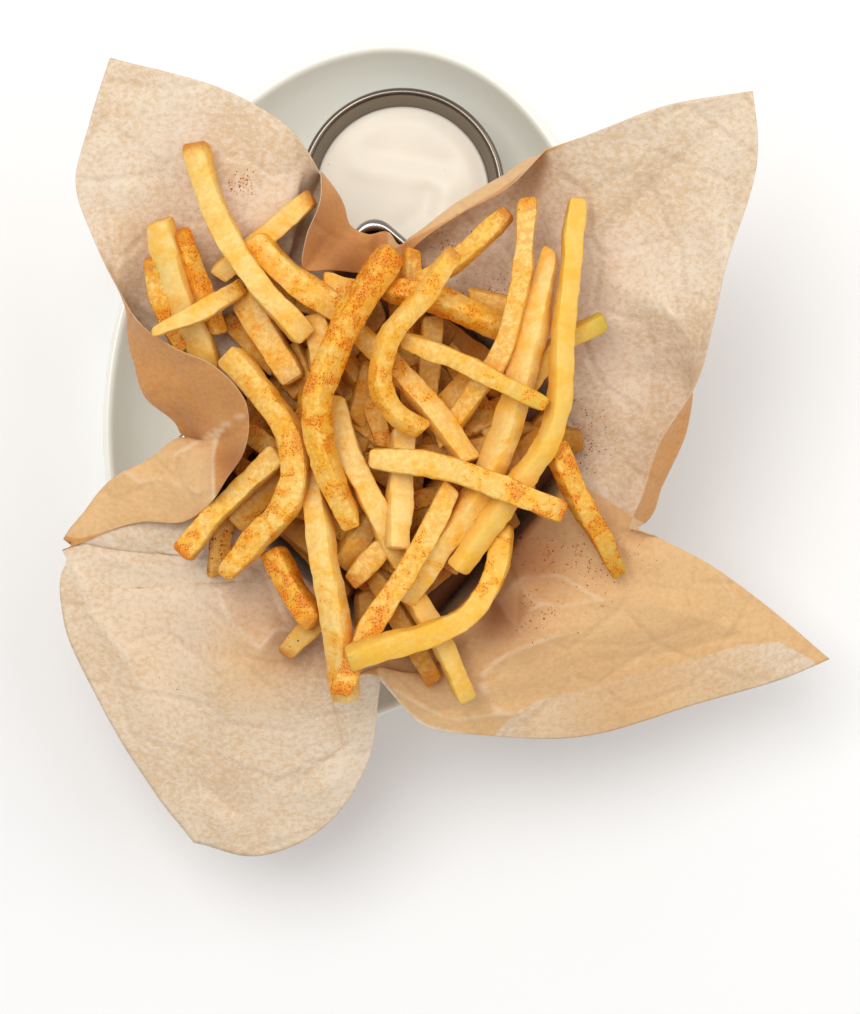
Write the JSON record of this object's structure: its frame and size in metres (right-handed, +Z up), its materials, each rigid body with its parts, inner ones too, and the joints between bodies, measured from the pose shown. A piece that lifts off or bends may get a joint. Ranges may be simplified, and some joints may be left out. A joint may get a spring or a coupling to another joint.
{
  "type": "french fries portion",
  "caption": "French fries heaped in a paper-lined square steel container, served on an oval platter with a small metal cup of creamy dip.",
  "frame": {"origin": "on the table, under the middle of the whole portion", "axes": "+Z up, +Y towards the sauce cup at the back, +X to the right as the portion is looked at"},
  "size_m": [0.2692, 0.2942, 0.1333],
  "materials": {
    "glaze": "warm white gloss glaze",
    "tin_steel": "satin stainless steel",
    "kraft_paper": "thin unbleached greaseproof paper, matte, a little translucent",
    "fried_potato": "fried potato, matte with a light oily sheen, dusted with orange-brown spice",
    "cup_steel": "bright stainless steel",
    "creamy_dip": "smooth pale cream dip"
  },
  "bodies": {
    "root": {"platter": "glaze", "fry_tin": "tin_steel", "paper_liner": "kraft_paper", "fries": "fried_potato", "dip_cup": "cup_steel", "dip": "creamy_dip"}
  },
  "joints": []
}
